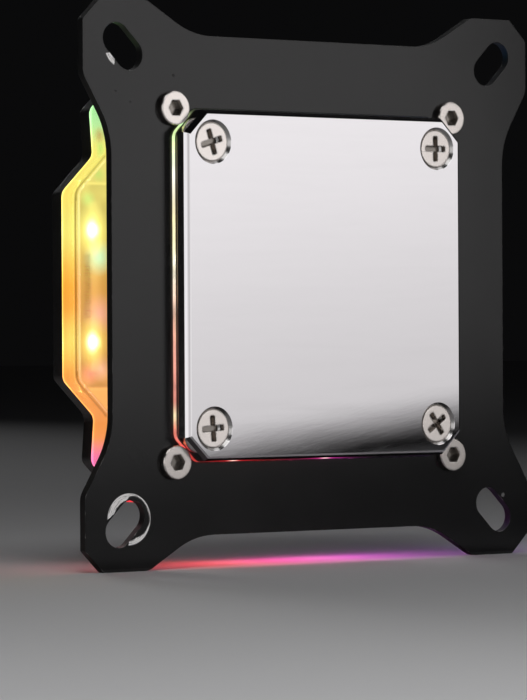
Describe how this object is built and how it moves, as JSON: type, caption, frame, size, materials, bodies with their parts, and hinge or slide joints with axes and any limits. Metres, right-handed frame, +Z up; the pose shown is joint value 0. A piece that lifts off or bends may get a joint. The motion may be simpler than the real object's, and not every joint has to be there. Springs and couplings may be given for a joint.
{
  "type": "cpu water block",
  "caption": "Square processor water block: bevelled mirror cold plate, black slotted mounting bracket, clear lit body with side wings, ports on the back cover.",
  "frame": {"origin": "middle of the cold plate's contact face", "axes": "+X across to the right as one looks at the contact face, +Y from the contact face into the block towards its ports, +Z up as it hangs in a tower computer"},
  "size_m": [0.093, 0.0218, 0.093],
  "materials": {
    "nickel_plate": "polished nickel plate on copper",
    "screw_steel": "nickel-plated steel, satin",
    "seal_rubber": "matte black rubber",
    "silicone": "matte grey silicone",
    "jet_steel": "plain stainless sheet",
    "clear_acrylic": "clear acrylic with satin machined sides, lit from inside",
    "insert_brass": "plain brass",
    "bracket_black": "satin black coating, worn round the slots",
    "board_white": "white circuit board",
    "led": "small lamps, lit",
    "jumper": "flat black ribbon",
    "foam": "black foam",
    "socket_nylon": "black nylon",
    "pin_gold": "gold-plated pins",
    "cover_black": "satin black anodised"
  },
  "bodies": {
    "root": {"cold_plate": "nickel_plate", "plate_screws": "screw_steel", "plate_seal": "seal_rubber", "flow_gasket": "silicone", "jet_plate": "jet_steel", "acrylic_body": "clear_acrylic", "bracket_inserts": "insert_brass", "mounting_bracket": "bracket_black", "bracket_screws": "screw_steel", "led_board_left": "board_white", "led_board_right": "board_white", "led_board_top": "board_white", "led_board_bottom": "board_white", "leds_left": "led", "leds_right": "led", "leds_top": "led", "leds_bottom": "led", "led_jumpers": "jumper", "board_pads": "foam", "led_socket": "socket_nylon", "socket_pins": "pin_gold", "back_cover": "cover_black"}
  },
  "joints": []
}
